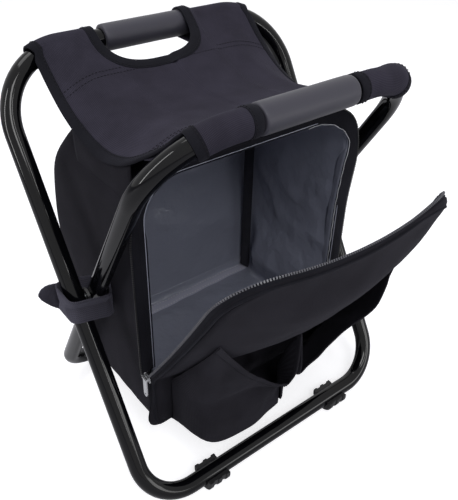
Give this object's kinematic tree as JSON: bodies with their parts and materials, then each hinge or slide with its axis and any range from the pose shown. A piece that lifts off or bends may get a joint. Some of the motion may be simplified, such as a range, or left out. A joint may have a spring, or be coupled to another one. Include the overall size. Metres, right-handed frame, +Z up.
{
  "type": "folding cooler stool",
  "caption": "Folding stool on crossed tube loops with a slung fabric seat and an insulated zip-fronted cooler bag with patch pockets hung inside the frames.",
  "frame": {"origin": "on the floor under the middle of the whole stool, its open door included; the pivots are 36.1 mm further back", "axes": "+Z up, front towards -Y (the open door leans that way), +X to the stool's right as seen from the front's viewer"},
  "size_m": [0.3796, 0.3352, 0.4169],
  "materials": {
    "frame_paint": "gloss black powder coat",
    "grip_foam": "matt soft foam",
    "woven_fabric": "matt plain weave, black with a little violet grey",
    "foot_rubber": "matt",
    "rivet_steel": "satin",
    "nylon_washer": "matt",
    "insulation_foam": "matt closed cell foam",
    "lining_film": "satin film, blue grey",
    "webbing": "matt ribbed webbing",
    "zip_teeth": "satin moulded teeth",
    "cast_zinc": "bright plated"
  },
  "bodies": {
    "outer_frame": {"outer_frame_tube": "frame_paint", "rear_grip": "grip_foam", "rear_hem_left": "woven_fabric", "rear_hem_right": "woven_fabric", "seat_panel": "woven_fabric", "outer_foot_left": "foot_rubber", "outer_foot_right": "foot_rubber", "pivot_rivet_left": "rivet_steel", "pivot_rivet_right": "rivet_steel", "pivot_washer_left": "nylon_washer", "pivot_washer_right": "nylon_washer"},
    "inner_frame": {"inner_frame_tube": "frame_paint", "front_grip": "grip_foam", "front_hem_left": "woven_fabric", "front_hem_right": "woven_fabric", "inner_foot_left": "foot_rubber", "inner_foot_right": "foot_rubber"},
    "cooler_bag": {"bag_cover_floor": "woven_fabric", "bag_cover_arch": "woven_fabric", "bag_cover_left": "woven_fabric", "bag_cover_right": "woven_fabric", "bag_cover_back": "woven_fabric", "bag_cover_front": "woven_fabric", "bag_foam_floor": "insulation_foam", "bag_foam_arch": "insulation_foam", "bag_foam_left": "insulation_foam", "bag_foam_right": "insulation_foam", "bag_foam_back": "insulation_foam", "bag_foam_front": "insulation_foam", "bag_lining_floor": "lining_film", "bag_lining_arch": "lining_film", "bag_lining_left": "lining_film", "bag_lining_right": "lining_film", "bag_lining_back": "lining_film", "bag_lining_front": "lining_film", "side_web_left": "woven_fabric", "side_web_right": "woven_fabric", "tie_strap_left": "webbing", "tie_strap_right": "webbing", "opening_zip": "zip_teeth"},
    "front_door": {"door_cover": "woven_fabric", "door_foam": "insulation_foam", "door_lining": "lining_film", "door_gusset": "woven_fabric", "door_zip": "zip_teeth", "pocket_left": "woven_fabric", "pocket_right": "woven_fabric"},
    "slider": {"zip_slider": "cast_zinc"},
    "tab": {"pull_tab": "cast_zinc"}
  },
  "joints": [
    {"name": "fold", "type": "hinge", "parent": "outer_frame", "child": "inner_frame", "pos_m": [0, 0.03611, 0.20935], "axis": [-1, 0, 0], "range_deg": [0, 40], "deforming": ["seat_panel"]},
    {"name": "bag_swing", "type": "hinge", "parent": "outer_frame", "child": "cooler_bag", "pos_m": [0, 0.03611, 0.20935], "axis": [-1, 0, 0], "range_deg": [0, 20]},
    {"name": "door_hinge", "type": "hinge", "parent": "cooler_bag", "child": "front_door", "pos_m": [0, -0.03889, 0.13], "axis": [1, 0, 0], "range_deg": [-35, 75], "deforming": ["pocket_left", "pocket_right"]},
    {"name": "slider_travel", "type": "slide", "parent": "cooler_bag", "child": "slider", "axis": [0, 0, 1], "range_m": [0, 0.13]},
    {"name": "tab_swing", "type": "hinge", "parent": "slider", "child": "tab", "pos_m": [-0.1299, -0.02589, 0.1358], "axis": [0, 1, 0], "range_deg": [0, 170]}
  ],
  "couplings": [
    {"joint": "bag_swing", "follows": "fold", "ratio": 0.5}
  ]
}
